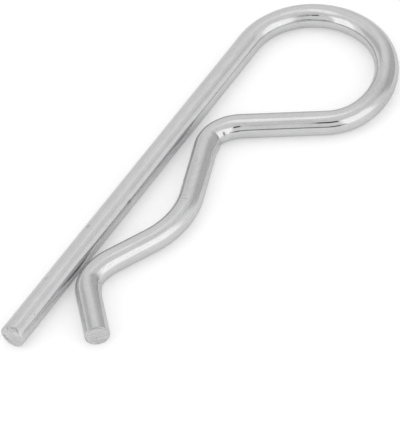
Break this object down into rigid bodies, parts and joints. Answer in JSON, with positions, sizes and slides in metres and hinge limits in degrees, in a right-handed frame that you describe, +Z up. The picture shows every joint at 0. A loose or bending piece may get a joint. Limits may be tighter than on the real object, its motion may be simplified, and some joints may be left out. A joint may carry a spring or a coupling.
{
  "type": "hitch r clip pin",
  "caption": "Bent wire clip with a straight leg for a cross hole, a round finger eye and a waved spring arm that seats on the outside of a shaft.",
  "frame": {"origin": "on the surface that the clip lies on, under the middle of its outline", "axes": "+X along the straight leg from its free tip towards the eye, +Y from the arm towards the leg, +Z up, square to the plane of the bends"},
  "size_m": [0.0846, 0.0294, 0.004],
  "materials": {
    "plated_wire": "bright zinc plate on drawn round spring wire"
  },
  "bodies": {
    "root": {"clip_wire": "plated_wire"}
  },
  "joints": []
}
